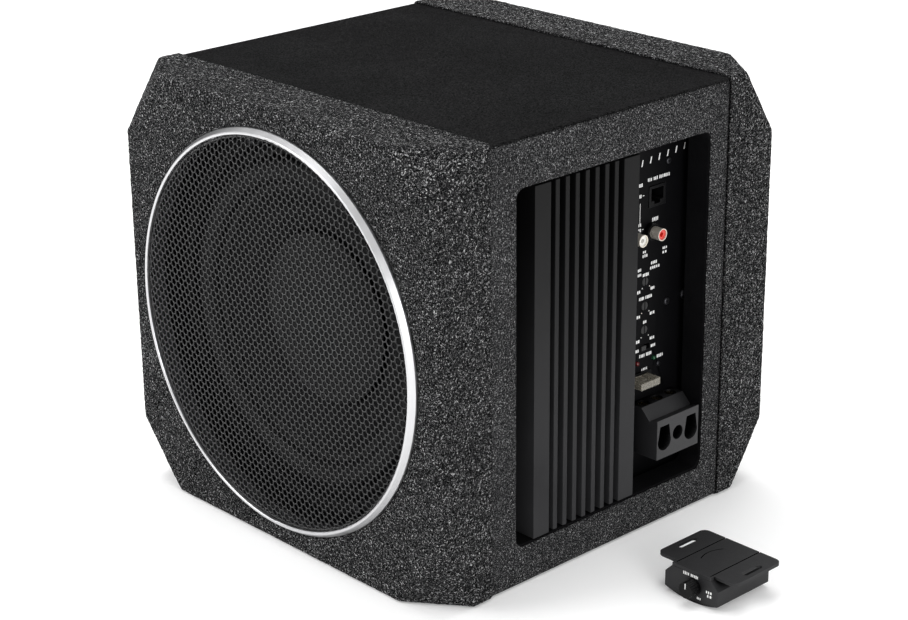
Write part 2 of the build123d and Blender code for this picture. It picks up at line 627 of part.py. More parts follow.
def modular_socket(size, length, hole):
    """A modular jack along +Z: a block with a socket and a latch notch in its far face."""
    wall, rise, notch = 2.5, 1.0, 2.4
    deep = length - wall
    jack = Pos(0, 0, length / 2) * Box(size[0], size[1], length)
    level = length - deep / 2 + OVER / 2
    jack -= Pos(0, rise, level) * Box(hole[0], hole[1], deep + OVER)
    jack -= Pos(0, rise - hole[1] / 2 - notch / 2 + 0.2, level) * Box(hole[0] / 2, notch, deep + OVER)
    return jack


def control_socket():
    """Jack for the remote's lead."""
    jack = modular_socket(SOCKET_SIZE, PLATE_FRONT + SOCKET_PROUD - CIRCUIT_X[1], SOCKET_HOLE)
    return Plane(origin=(CIRCUIT_X[1], SOCKET_Y, SOCKET_Z), x_dir=(0, 1, 0), z_dir=(1, 0, 0)) * jack


def control_bodies():
    """Bodies of the three trimmers and of the slide switch, behind the plate."""
    span, open_end = (CIRCUIT_X[1], PLATE_BACK), PLATE_BACK + OVER
    parts = []
    for z in TRIMMER_Z.values():
        case = block(span, around(CONTROL_Y, TRIMMER_CASE), around(z, TRIMMER_CASE))
        hole = (span[0] + TRIMMER_FLOOR, open_end)
        parts.append(case - peg_x(hole, CONTROL_Y, z, TRIMMER_RADIUS + FIT))
    case = block(span, around(CONTROL_Y, SWITCH_CASE[0]), around(SWITCH_Z, SWITCH_CASE[1]))
    track = around(CONTROL_Y, SWITCH_FOOT[0] + SWITCH_TRAVEL + 4 * CLEAR)
    case -= block((span[0] + SWITCH_FLOOR, open_end), track, around(SWITCH_Z, SWITCH_FOOT[1] + 2 * CLEAR))
    parts.append(case)
    return Compound(parts)


def trimmer(name):
    """Slotted shaft of one trimmer, just under the plate's face."""
    z, face = TRIMMER_Z[name], PLATE_FRONT - TRIMMER_SUNK
    shaft = peg_x((CIRCUIT_X[1] + TRIMMER_FLOOR + 0.2, face), CONTROL_Y, z, TRIMMER_RADIUS)
    slot = around(CONTROL_Y, TRIMMER_SLOT), around(z, 2 * (TRIMMER_RADIUS + OVER))
    return shaft - block((face - TRIMMER_SLOT_DEPTH, FAR), *slot)


def phase_slider():
    """Thumb piece of the slide switch, at the front end of its travel."""
    middle, step = CONTROL_Y - SWITCH_TRAVEL / 2, PLATE_BACK - FOOT_SUNK
    (foot_y, foot_z), (thumb_y, thumb_z) = SWITCH_FOOT, THUMB_SIZE
    foot = block((CIRCUIT_X[1] + SWITCH_FLOOR + 0.4, step), around(middle, foot_y), around(SWITCH_Z, foot_z))
    return foot + block((step, PLATE_FRONT + THUMB_PROUD), around(middle, thumb_y), around(SWITCH_Z, thumb_z))


def led(name):
    """Domed lamp in the plate."""
    y, tip = LED_Y[name], PLATE_FRONT + LED_PROUD
    return peg_x((CIRCUIT_X[1], tip), y, LED_Z, LED_RADIUS) + Pos(tip, y, LED_Z) * Sphere(LED_RADIUS)


def panel_screws():
    """Cross-headed screws in the connector plate, with softened heads."""
    screws = []
    for y, z, radius in PLATE_SCREWS:
        height, arm = HEAD_RATIO * radius, RECESS_ARM * radius
        head = peg_x((PLATE_FRONT, PLATE_FRONT + height), y, z, radius)
        head = fillet(head.edges().filter_by(GeomType.CIRCLE).sort_by(Axis.X)[-1:], HEAD_ROUND * radius)
        recess = (PLATE_FRONT + RECESS_LEVEL * height, FAR)
        head -= block(recess, around(y, RECESS_GAP), around(z, arm))
        head -= block(recess, around(y, arm), around(z, RECESS_GAP))
        screws.append(head)
    return Compound(screws)


def fuse_holder():
    """Blade fuse socket."""
    span = (CIRCUIT_X[1], PLATE_FRONT + HOLDER_PROUD)
    cavity = around(FUSE_Y, FUSE_SIZE[0] + 2 * HOLDER_PLAY), around(FUSE_Z, FUSE_SIZE[1] + 2 * HOLDER_PLAY)
    holder = block(span, around(FUSE_Y, HOLDER_SIZE[0]), around(FUSE_Z, HOLDER_SIZE[1]))
    return holder - block((span[0] + HOLDER_FLOOR, FAR), *cavity)


def fuse():
    """Blade fuse: a flat plastic body with a sunken middle, over two blades."""
    body = block(FUSE_X, around(FUSE_Y, FUSE_SIZE[0]), around(FUSE_Z, FUSE_SIZE[1]))
    dip = around(FUSE_Y, FUSE_DIP_WIDTH), (FUSE_Z + FUSE_DIP_LEVEL, FUSE_Z + FUSE_SIZE[1])
    body -= block(shrunk(FUSE_X, FUSE_DIP), *dip)
    for y in (FUSE_Y - BLADE_OFFSET, FUSE_Y + BLADE_OFFSET):
        body += block((BLADE_TIP, FUSE_X[0] + 0.1), around(y, BLADE_SIZE[0]), around(FUSE_Z, BLADE_SIZE[1]))
    return body


# ---------------------------------------------------------------- power terminal block

def wire_port(index):
    """Cutting tool for one wire port: round in the middle, pear-shaped at the sides."""
    deep, y = (PORT_BACK, BLOCK_FRONT + OVER), PORT_Y[index]
    if index == 1:
        return peg_x(deep, y, PORT_Z, SMALL_PORT)
    low, high = PORT_Z - LARGE_PORT_DROP, PORT_Z + NECK_TOP
    sides = [(y - LARGE_PORT, low), (y - NECK / 2, high), (y + NECK / 2, high), (y + LARGE_PORT, low)]
    neck = Pos(deep[0], 0, 0) * (Plane.YZ * make_face(Polyline(*sides, close=True)))
    return peg_x(deep, y, low, LARGE_PORT) + extrude(neck, deep[1] - deep[0], dir=(1, 0, 0))


def terminal_block():
    """Three-way power block: screw ledge on top, sloping cover, wire ports in front."""
    low, ledge = BLOCK_Z
    outline = (
        (PLATE_FRONT, low), (BLOCK_FRONT, low), (BLOCK_FRONT, LIP_Z), (LIP_X, VALLEY_Z), (LEDGE_X, ledge),
        (PLATE_FRONT, ledge),
    )
    face = make_face(Polyline(*[(x, -z) for x, z in outline], close=True))
    body = extrude(Pos(0, BLOCK_Y[0], 0) * Rot(-90, 0, 0) * face, BLOCK_Y[1] - BLOCK_Y[0])
    for index, y in enumerate(PORT_Y):
        body -= wire_port(index)
        body -= peg_z(CLAMP_X, y, (PORT_Z, FAR), CLAMP_RADIUS + FIT)
        body -= peg_z(CLAMP_X, y, (ledge - CLAMP_SUNK[0] - 0.2, FAR), CLAMP_HEAD + CLEAR)
    return body


def clamp_screw(index):
    """Slotted screw that clamps one wire."""
    y, ledge = PORT_Y[index], BLOCK_Z[1]
    under, top = ledge - CLAMP_SUNK[0], ledge - CLAMP_SUNK[1]
    screw = peg_z(CLAMP_X, y, (CLAMP_TIP_Z, top), CLAMP_RADIUS)
    screw += peg_z(CLAMP_X, y, (under, top), CLAMP_HEAD)
    return screw - block(around(CLAMP_X, 10), around(y, CLAMP_SLOT), (top - CLAMP_SLOT_DEPTH, FAR))


# ---------------------------------------------------------------- remote level control

def remote_case():
    """Open-topped case with a bowed underside and holes for the knob's shaft and the lead's jack."""
    left, right = REMOTE_X - REMOTE_HALF, REMOTE_X + REMOTE_HALF
    top, low, cut = REMOTE_TOP, REMOTE_SIDE_Z, REMOTE_CUT
    upper = Polyline(
        (right, low), (right, top - cut), (right - cut, top), (left + cut, top), (left, top - cut),
        (left, low),
    )
    outline = upper + ThreePointArc((left, low), (REMOTE_X, 0), (right, low))
    case = Pos(0, REMOTE_Y[1], 0) * extrude(Plane.XZ * make_face(outline), REMOTE_Y[1] - REMOTE_Y[0])
    inside = around(REMOTE_X, 2 * REMOTE_CAVITY_HALF), shrunk(REMOTE_Y, REMOTE_WALL)
    case -= block(*inside, (REMOTE_FLOOR, FAR))
    case -= peg_y(KNOB_X, (REMOTE_Y[0] - OVER, 0), KNOB_Z, KNOB_SHAFT + FIT)
    wide, tall = REMOTE_JACK_SIZE
    return case - block(around(REMOTE_X, wide + 0.2), (0, FAR), around(REMOTE_JACK_Z, tall + 0.2))


def remote_bracket():
    """Mounting plate on the case: two slotted ears, a tongue to the front and score lines."""
    middle, thick = sum(BRACKET_Y) / 2, BRACKET_TOP - REMOTE_TOP
    outline = RectangleRounded(2 * BRACKET_HALF, BRACKET_Y[1] - BRACKET_Y[0], BRACKET_ROUND)
    plate = Pos(REMOTE_X, middle, REMOTE_TOP) * extrude(outline, thick)
    plate += block(around(REMOTE_X, 2 * TONGUE_HALF), (REMOTE_Y[0], 0), (REMOTE_TOP, BRACKET_TOP))
    slot = extrude(Rot(0, 0, 90) * SlotOverall(SLOT_LENGTH, SLOT_WIDTH), thick + 2 * OVER)
    score = (BRACKET_TOP - SCORE_DEPTH, FAR)
    for side in (-1, 1):
        plate -= Pos(REMOTE_X + side * SLOT_OFFSET, middle, REMOTE_TOP - OVER) * slot
        plate -= block(around(REMOTE_X + side * SCORE_OFFSET, SCORE_WIDTH), (REMOTE_Y[0] + 2, FAR), score)
    arc = Pos(*ARC_MIDDLE) * (Circle(ARC_RADII[1]) - Circle(ARC_RADII[0]))
    arc &= Pos(*ARC_WINDOW) * Rectangle(*ARC_WINDOW_SIZE)
    arc = Pos(REMOTE_X, middle) * arc
    return plate - Pos(0, 0, score[0]) * extrude(arc, thick)


def remote_knob():
    """Ribbed knob with its shaft through the case's front."""
    front = REMOTE_Y[0]
    knob = peg_y(KNOB_X, (front - KNOB_LENGTH, front - KNOB_GAP), KNOB_Z, KNOB_RADIUS)
    for i in range(FLUTE_COUNT):
        angle = 2 * math.pi * i / FLUTE_COUNT
        x, z = KNOB_X + KNOB_RADIUS * math.sin(angle), KNOB_Z + KNOB_RADIUS * math.cos(angle)
        knob -= peg_y(x, (-FAR, front - KNOB_COLLAR), z, FLUTE_RADIUS)
    depth, rise = (-FAR, front - KNOB_LENGTH + POINTER_DEPTH), KNOB_RADIUS + OVER
    knob -= block(around(KNOB_X, POINTER_WIDTH), depth, (KNOB_Z + POINTER_START, KNOB_Z + rise))
    return knob + peg_y(KNOB_X, (front - 1, front + KNOB_SHAFT_LENGTH), KNOB_Z, KNOB_SHAFT)


def remote_board():
    """Circuit board with the potentiometer's body on it."""
    front, back = shrunk(REMOTE_Y, REMOTE_WALL + OVER)
    board = block(around(REMOTE_X, 2 * REMOTE_BOARD_HALF), (front, back), REMOTE_BOARD_Z)
    pot = (REMOTE_Y[0] + POT_DEPTH[0], REMOTE_Y[0] + POT_DEPTH[1])
    board += block(around(KNOB_X, 2 * POT_HALF), pot, POT_Z)
    return board - peg_y(KNOB_X, (front, REMOTE_Y[0] + KNOB_SHAFT_LENGTH + 0.4), KNOB_Z, KNOB_SHAFT + FIT)


def remote_socket():
    """Jack for the lead, in the remote's rear."""
    jack = modular_socket(REMOTE_JACK_SIZE, REMOTE_JACK_LENGTH, REMOTE_JACK_HOLE)
    start = (REMOTE_X, REMOTE_Y[1] - REMOTE_JACK_LENGTH, REMOTE_JACK_Z)
    return Plane(origin=start, x_dir=(-1, 0, 0), z_dir=(0, 1, 0)) * jack


def build():
    """Every sub-part by its node's name."""
    parts = {
        "front_frame": cap_frame(), "rear_frame": to_rear(cap_frame()),
        "front_carpet": cap_carpet(), "rear_carpet": to_rear(cap_carpet()),
        "top_panel": top_panel(), "bottom_panel": bottom_panel(),
        "left_panel": left_panel(), "right_panel": right_panel(),
        "top_cover": top_cover(), "body_carpet": body_carpet(),
        "front_grille_ring": at_front(grille_ring()), "rear_grille_ring": at_rear(grille_ring()),
        "front_grille_mesh": at_front(grille_mesh()), "rear_grille_mesh": at_rear(grille_mesh()),
        "woofer_basket": at_front(woofer_basket()), "woofer_surround": at_front(surround()),
        "woofer_cone": at_front(woofer_cone()), "dust_cap": at_front(dust_cap()),
        "voice_coil": at_front(voice_coil()), "spider": at_front(spider()),
        "top_plate": at_front(top_plate()), "magnet": at_front(magnet()),
        "back_plate": at_front(back_plate()), "woofer_terminals": at_front(woofer_terminals()),
        "driver_screws": driver_screws(), "speaker_wires": speaker_wires(),
        "passive_frame": at_rear(passive_frame()), "passive_surround": at_rear(surround()),
        "passive_cone": at_rear(passive_cone()),
        "amp_plate": amp_plate(), "heatsink": heatsink(), "amp_housing": amp_housing(),
        "circuit_board": circuit_board(), "capacitors": capacitors(), "toroid": toroid(),
        "transistors": transistors(), "rca_body": rca_body(), "rca_shells": rca_shells(),
        "rca_insert_white": rca_insert(RCA_Y[0]), "rca_insert_red": rca_insert(RCA_Y[1]),
        "control_socket": control_socket(), "control_bodies": control_bodies(),
        "phase_slider": phase_slider(), "power_led": led("power"), "protect_led": led("protect"),
        "fuse_holder": fuse_holder(), "fuse": fuse(), "terminal_block": terminal_block(),
        "power_screw": clamp_screw(0), "remote_wire_screw": clamp_screw(1), "ground_screw": clamp_screw(2),
        "panel_screws": panel_screws(),
        "remote_case": remote_case(), "remote_bracket": remote_bracket(), "remote_knob": remote_knob(),
        "remote_board": remote_board(), "remote_socket": remote_socket(),
    }
    for name in TRIMMER_Z:
        parts[name + "_trimmer"] = trimmer(name)
    return parts


os.makedirs("parts", exist_ok=True)
for node, shape in build().items():
    export_step(shape, f"parts/{node}.step")
    print(node)
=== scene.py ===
import math
import random

import bpy
import numpy as np
from mathutils import Matrix, Vector


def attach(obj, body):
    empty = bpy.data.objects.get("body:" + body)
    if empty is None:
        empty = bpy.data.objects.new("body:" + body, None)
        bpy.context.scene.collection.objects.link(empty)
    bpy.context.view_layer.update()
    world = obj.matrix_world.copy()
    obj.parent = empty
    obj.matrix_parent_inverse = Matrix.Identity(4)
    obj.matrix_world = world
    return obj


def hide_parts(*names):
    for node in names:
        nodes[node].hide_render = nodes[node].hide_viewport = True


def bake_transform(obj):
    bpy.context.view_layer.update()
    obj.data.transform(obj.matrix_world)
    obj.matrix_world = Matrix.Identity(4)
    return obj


# Looks of the powered car subwoofer. Metres, in the CAD frame: X right, Y to the rear, Z up.

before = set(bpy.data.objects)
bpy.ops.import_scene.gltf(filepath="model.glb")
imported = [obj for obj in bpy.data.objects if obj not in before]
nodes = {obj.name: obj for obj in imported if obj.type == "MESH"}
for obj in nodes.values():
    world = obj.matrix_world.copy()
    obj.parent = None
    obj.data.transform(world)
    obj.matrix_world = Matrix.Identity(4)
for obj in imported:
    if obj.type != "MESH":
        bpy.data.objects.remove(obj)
bpy.context.view_layer.update()
scene = bpy.context.scene

MM = 0.001
AXIS_Z = 0.15  # height of both drivers' axis
random.seed(7)


# ---------------------------------------------------------------- camera

CAMERA_PLACE = (1.04408, -0.97490, 0.67210)
CAMERA_YAW, CAMERA_PITCH, CAMERA_ROLL = math.radians(46.86), math.radians(-20.94), math.radians(-0.53)
CAMERA_LENS, SENSOR_WIDTH = 88.09, 36.0


def make_camera():
    """The camera at the viewing angle: yaw about the vertical, then pitch, then roll about its axis."""
    data = bpy.data.cameras.new("camera")
    data.lens, data.sensor_width, data.sensor_fit = CAMERA_LENS, SENSOR_WIDTH, "HORIZONTAL"
    data.clip_start, data.clip_end = 0.05, 50.0
    forward = Vector((
        -math.sin(CAMERA_YAW) * math.cos(CAMERA_PITCH),
        math.cos(CAMERA_YAW) * math.cos(CAMERA_PITCH),
        math.sin(CAMERA_PITCH),
    ))
    level = forward.cross(Vector((0, 0, 1))).normalized()
    above = level.cross(forward)
    right = level * math.cos(CAMERA_ROLL) + above * math.sin(CAMERA_ROLL)
    up = above * math.cos(CAMERA_ROLL) - level * math.sin(CAMERA_ROLL)
    camera = bpy.data.objects.new("camera", data)
    axes = Matrix((right, up, -forward)).transposed().to_4x4()
    camera.matrix_world = Matrix.Translation(CAMERA_PLACE) @ axes
    scene.collection.objects.link(camera)
    scene.camera = camera


# ---------------------------------------------------------------- materials

class Shader:
    """A node material built around one Principled BSDF. Coordinates are metres in the CAD frame."""

    def __init__(self, name, colour, roughness, **sockets):
        self.material = bpy.data.materials.new(name)
        self.material.use_nodes = True
        self.tree = self.material.node_tree
        self.bsdf = self.tree.nodes["Principled BSDF"]
        self.bsdf.inputs["Base Color"].default_value = (*colour, 1)
        self.bsdf.inputs["Roughness"].default_value = roughness
        for socket, value in sockets.items():
            self.bsdf.inputs[socket.replace("_", " ")].default_value = value
        self.place = self.add("ShaderNodeTexCoord").outputs["Object"]

    def add(self, kind, settings=None, **inputs):
        """A node with its settings made and its inputs given as values or as other nodes' outputs.

        An input goes by its name, or by i and its number where names repeat.
        """
        node = self.tree.nodes.new(kind)
        for key, value in (settings or {}).items():
            setattr(node, key, value)
        for key, value in inputs.items():
            socket = node.inputs[int(key[1:])] if key[0] == "i" and key[1:].isdigit() else node.inputs[key]
            if isinstance(value, bpy.types.NodeSocket):
                self.tree.links.new(value, socket)
            else:
                socket.default_value = value
        return node

    def stretched(self, scale, place=None):
        return self.add("ShaderNodeMapping", Vector=place or self.place, Scale=scale).outputs["Vector"]

    def noise(self, scale, detail=3.0, roughness=0.6, distortion=0.0, place=None):
        node = self.add(
            "ShaderNodeTexNoise", Vector=place or self.place, Scale=scale, Detail=detail,
            Roughness=roughness, Distortion=distortion,
        )
        return node.outputs["Fac"]

    def cells(self, scale, feature="F1", output="Distance", place=None):
        node = self.add("ShaderNodeTexVoronoi", {"feature": feature}, Vector=place or self.place, Scale=scale)
        return node.outputs[output]

    def ramp(self, value, low, high, start=0.0, end=1.0):
        """Maps low..high to start..end, clamped and smooth."""
        node = self.add(
            "ShaderNodeMapRange", {"interpolation_type": "SMOOTHSTEP"}, Value=value,
            i1=low, i2=high, i3=start, i4=end,
        )
        return node.outputs["Result"]

    def math(self, operation, a, b=0.0):
        return self.add("ShaderNodeMath", {"operation": operation}, i0=a, i1=b).outputs[0]

    def mix(self, share, a, b):
        """Mixes two colours, given as RGB tuples or sockets."""
        a, b = [(*c, 1) if isinstance(c, tuple) else c for c in (a, b)]
        return self.add("ShaderNodeMix", {"data_type": "RGBA"}, i0=share, i6=a, i7=b).outputs[2]

    def edges(self, width):
        """1 along sharp edges, falling to 0 away from them."""
        rounded = self.add("ShaderNodeBevel", {"samples": 4}, Radius=width).outputs["Normal"]
        plain = self.add("ShaderNodeNewGeometry").outputs["Normal"]
        same = self.add("ShaderNodeVectorMath", {"operation": "DOT_PRODUCT"}, i0=rounded, i1=plain)
        return self.ramp(same.outputs["Value"], 0.93, 0.999, 1.0, 0.0)

    def colour(self, socket):
        self.tree.links.new(socket, self.bsdf.inputs["Base Color"])

    def rough(self, socket):
        self.tree.links.new(socket, self.bsdf.inputs["Roughness"])

    def bump(self, height, distance, strength=1.0):
        """Adds a bump on top of what is there; distance is in metres."""
        normal = self.bsdf.inputs["Normal"]
        inputs = {"Height": height, "Distance": distance, "Strength": strength}
        if normal.is_linked:
            inputs["Normal"] = normal.links[0].from_socket
        node = self.add("ShaderNodeBump", **inputs)
        self.tree.links.new(node.outputs["Normal"], normal)


def fibres(shader, patch, length, width):
    """Short fibres that lie every way: each small patch turns the grain of a stretched noise."""
    twist = shader.cells(patch, output="Color")
    turned = shader.add(
        "ShaderNodeVectorRotate", {"rotation_type": "EULER_XYZ"}, Vector=shader.place,
        Rotation=shader.add("ShaderNodeVectorMath", {"operation": "SCALE"}, i0=twist, Scale=6.283).outputs[0],
    ).outputs[0]
    return shader.noise(1.0, 2.0, 0.55, 0.4, shader.stretched((length, width, width), place=turned))


def hairs(shader, scale, width, shift):
    """Fine curly hairs: the level lines of a soft noise."""
    moved = shader.add("ShaderNodeMapping", Vector=shader.place, Location=(shift, 2 * shift, 3 * shift))
    value = shader.noise(scale, 1.0, 0.5, 0.7, moved.outputs["Vector"])
    return shader.ramp(shader.math("ABSOLUTE", shader.math("SUBTRACT", value, 0.5)), 0.0, width, 1.0, 0.0)


def felt(name, dark, grey, light, scale, tufts, depth):
    """Heathered needle felt: dark pile under curly grey hairs, with scattered pale ones, in tufts."""
    s = Shader(name, dark, 1.0, Specular_IOR_Level=0.03)
    grey_hairs = s.math("MAXIMUM", hairs(s, 560 * scale, 0.07, 0.11), hairs(s, 760 * scale, 0.07, 0.37))
    patches = s.ramp(s.noise(640 * scale, 2.0), 0.48, 0.58)
    pale_hairs = s.math("MULTIPLY", hairs(s, 520 * scale, 0.055, 0.61), patches)
    pile = s.noise(1000 * scale, 2.0, 0.7)
    tuft = s.ramp(s.noise(230 * scale, 3.0, 0.6), 0.32, 0.68, 1.0 - tufts, 1.0)
    broad = s.ramp(s.noise(14, 3.0, 0.6), 0.3, 0.7, 0.8, 1.0)
    lay = s.math("MULTIPLY", tuft, broad)
    grey_share = s.math("MULTIPLY", s.math("MULTIPLY", grey_hairs, lay), s.ramp(pile, 0.4, 0.62))
    pale_share = s.math("MULTIPLY", s.math("MULTIPLY", pale_hairs, lay), s.ramp(pile, 0.35, 0.6, 0.2, 1.0))
    s.colour(s.mix(pale_share, s.mix(grey_share, dark, grey), light))
    height = s.math("ADD", s.math("ADD", grey_hairs, s.math("MULTIPLY", pale_hairs, 0.8)), pile)
    s.bump(height, depth, 0.8)
    return s.material


def lid_skin(name):
    """Very dark, fine-napped skin: soft mottling and a fine grain that catches a little light."""
    s = Shader(name, (0.010, 0.010, 0.011), 0.9, Specular_IOR_Level=0.02)
    nap = s.noise(900, 3.0, 0.7)
    threads = hairs(s, 420, 0.07, 0.23)
    tone = s.math("ADD", s.ramp(nap, 0.35, 0.7, 0.0, 0.6), s.math("MULTIPLY", threads, 0.4))
    wear = s.ramp(s.noise(18, 4.0, 0.6), 0.35, 0.7, 0.75, 1.0)
    s.colour(s.mix(s.math("MULTIPLY", tone, wear), (0.0008, 0.0008, 0.0009), (0.025, 0.025, 0.0255)))
    s.bump(nap, 0.00018, 0.8)
    s.bump(threads, 0.00012, 0.6)
    return s.material


def satin_metal(name, colour, roughness, metallic=1.0, spread=0.08):
    """Metal with a fine grain: small roughness changes and hairline marks."""
    s = Shader(name, colour, roughness, Metallic=metallic)
    wide = s.noise(70, 4.0, 0.6)
    fine = s.noise(1.0, 2.0, 0.6, 0.0, s.stretched((900, 900, 5000)))
    mixed = s.math("ADD", s.math("MULTIPLY", wide, 0.6), s.math("MULTIPLY", fine, 0.4))
    s.rough(s.ramp(mixed, 0.3, 0.7, roughness - spread, roughness + spread))
    s.colour(s.mix(wide, tuple(0.93 * c for c in colour), colour))
    s.bump(fine, 0.00002, 0.5)
    return s.material


# heights in metres over which painted shade darkens a coat towards the top of the box
PAINTED_SHADE_HEIGHTS = (0.02, 0.27)
# the colour of the painted shade in corners and gaps
PAINTED_SHADE_BLACK = (0.0008, 0.0008, 0.0009)
DUST_GREY = (0.3, 0.3, 0.29)


def coated(name, colour, roughness, grain, depth, painted_shade_reach=0.0, painted_top_shade=0.0, **sockets):
    """Powder coat or moulded plastic: a fine grain, faint blotches, worn edges and a trace of dust.

    With hollow, a reach in metres, painted shade darkens the colour and specular in corners and gaps
    of that size. With fade, painted shade darkens the coat towards the top of the box, down to that
    share of its tone.
    """
    s = Shader(name, colour, roughness, **sockets)
    fine = s.noise(grain, 2.0, 0.55)
    wide = s.noise(45, 4.0, 0.6)
    dust = s.math("MULTIPLY", s.ramp(s.noise(5200, 1.0, 0.5), 0.74, 0.8), s.ramp(wide, 0.45, 0.7))
    tone = s.mix(wide, tuple(0.8 * c for c in colour), tuple(min(1.0, 1.15 * c) for c in colour))
    rubbed = s.math("MULTIPLY", s.edges(0.0006), s.ramp(s.noise(260, 3.0, 0.6), 0.35, 0.65, 0.3, 1.0))
    tone = s.mix(rubbed, tone, tuple(min(1.0, 1.5 * c + 0.012) for c in colour))
    tone = s.mix(s.math("MULTIPLY", dust, 0.2), tone, DUST_GREY)
    # painted shade: the coat darker towards the top, where the recess's rim shades it
    if painted_top_shade:
        height = s.add("ShaderNodeSeparateXYZ", Vector=s.place).outputs["Z"]
        tone = s.mix(s.ramp(height, *PAINTED_SHADE_HEIGHTS), tone, tuple(painted_top_shade * c for c in colour))
    # painted shade: an occlusion mask darkens the colour and the specular in corners and gaps
    if painted_shade_reach:
        occlusion = s.add("ShaderNodeAmbientOcclusion", {"samples": 8}, Distance=painted_shade_reach).outputs["AO"]
        unshaded_share = s.ramp(occlusion, 0.35, 0.95)
        tone = s.mix(unshaded_share, PAINTED_SHADE_BLACK, tone)
        specular = s.bsdf.inputs["Specular IOR Level"]
        s.tree.links.new(s.math("MULTIPLY", unshaded_share, specular.default_value), specular)
    s.colour(tone)
    mixed = s.math("ADD", s.math("MULTIPLY", wide, 0.7), s.math("MULTIPLY", fine, 0.3))
    s.rough(s.ramp(mixed, 0.3, 0.7, roughness - 0.07, roughness + 0.07))
    s.bump(fine, depth, 0.7)
    return s.material


def turned_rings(name, colour, roughness, pitch, depth, **sockets):
    """A surface with faint rings round the drivers' axis, as on rubber, paper and spun parts."""
    s = Shader(name, colour, roughness, **sockets)
    moved = s.add("ShaderNodeVectorMath", {"operation": "SUBTRACT"}, i0=s.place, i1=(0, 0, AXIS_Z)).outputs[0]
    flat = s.add("ShaderNodeVectorMath", {"operation": "MULTIPLY"}, i0=moved, i1=(1, 0, 1)).outputs[0]
    radius = s.add("ShaderNodeVectorMath", {"operation": "LENGTH"}, i0=flat).outputs["Value"]
    rings = s.math("SINE", s.math("MULTIPLY", radius, 2 * math.pi / pitch))
    fine = s.noise(1700, 3.0, 0.6)
    wide = s.noise(40, 3.0, 0.6)
    s.colour(s.mix(wide, tuple(0.8 * c for c in colour), tuple(1.2 * c for c in colour)))
    mixed = s.math("ADD", s.math("MULTIPLY", wide, 0.5), s.math("MULTIPLY", fine, 0.5))
    s.rough(s.ramp(mixed, 0.3, 0.7, roughness - 0.06, roughness + 0.08))
    s.bump(rings, depth, 0.6)
    s.bump(fine, 0.00008, 0.6)
    return s.material


def wood_board(name, light, dark, paint=0.0, specular=0.5):
    """Fibreboard: compressed short fibres that lie every way. Paint makes it smoother."""
    s = Shader(name, light, 0.8, Specular_IOR_Level=specular)
    chips = fibres(s, 420, 250, 1500)
    wide = s.noise(30, 4.0, 0.6)
    tone = s.math("ADD", s.math("MULTIPLY", chips, 0.7), s.math("MULTIPLY", wide, 0.3))
    s.colour(s.mix(s.ramp(tone, 0.35, 0.65), dark, light))
    s.rough(s.ramp(chips, 0.3, 0.7, 0.68 - paint, 0.9 - paint))
    s.bump(chips, 0.0002, 0.7)
    return s.material


def circuit_green(name):
    """Solder resist with darker tracks between cells and pale pads."""
    s = Shader(name, (0.015, 0.10, 0.04), 0.35, Coat_Weight=0.3)
    tracks = s.ramp(s.cells(160, "DISTANCE_TO_EDGE"), 0.04, 0.07)
    pads = s.ramp(s.cells(420), 0.10, 0.14)
    green = s.mix(tracks, (0.02, 0.16, 0.06), (0.012, 0.085, 0.035))
    s.colour(s.mix(pads, (0.55, 0.52, 0.42), green))
    s.bump(tracks, 0.00005, 0.6)
    return s.material


def winding(name, colour):
    """Enamelled wire: close turns with a bright, slightly uneven lay."""
    s = Shader(name, colour, 0.3, Metallic=0.9, Coat_Weight=0.4)
    turns = s.add(
        "ShaderNodeTexWave", {"wave_type": "BANDS", "bands_direction": "DIAGONAL"},
        Vector=s.place, Scale=420.0, Distortion=1.5, Detail=1.0,
    ).outputs["Fac"]
    s.colour(s.mix(turns, tuple(0.35 * c for c in colour), colour))
    s.bump(turns, 0.0003, 0.8)
    return s.material


def clear_plastic(name, colour, transmission, roughness):
    """Cloudy clear plastic with faint flow marks."""
    s = Shader(name, colour, roughness, Transmission_Weight=transmission, IOR=1.5)
    flow = s.noise(1.0, 2.0, 0.5, 0.4, s.stretched((110, 300, 110)))
    s.colour(s.mix(flow, tuple(0.7 * c for c in colour), colour))
    s.rough(s.ramp(flow, 0.3, 0.7, roughness - 0.08, roughness + 0.1))
    s.bump(flow, 0.00006, 0.4)
    return s.material


def cloth(name, colour):
    """Dipped open-weave cloth of the spider."""
    s = Shader(name, colour, 0.7)
    across = s.add("ShaderNodeTexWave", {"bands_direction": "X"}, Vector=s.place, Scale=300.0).outputs["Fac"]
    along = s.add("ShaderNodeTexWave", {"bands_direction": "Z"}, Vector=s.place, Scale=300.0).outputs["Fac"]
    weave = s.math("MULTIPLY", across, along)
    s.colour(s.mix(weave, tuple(0.45 * c for c in colour), colour))
    s.bump(weave, 0.0003, 0.8)
    return s.material


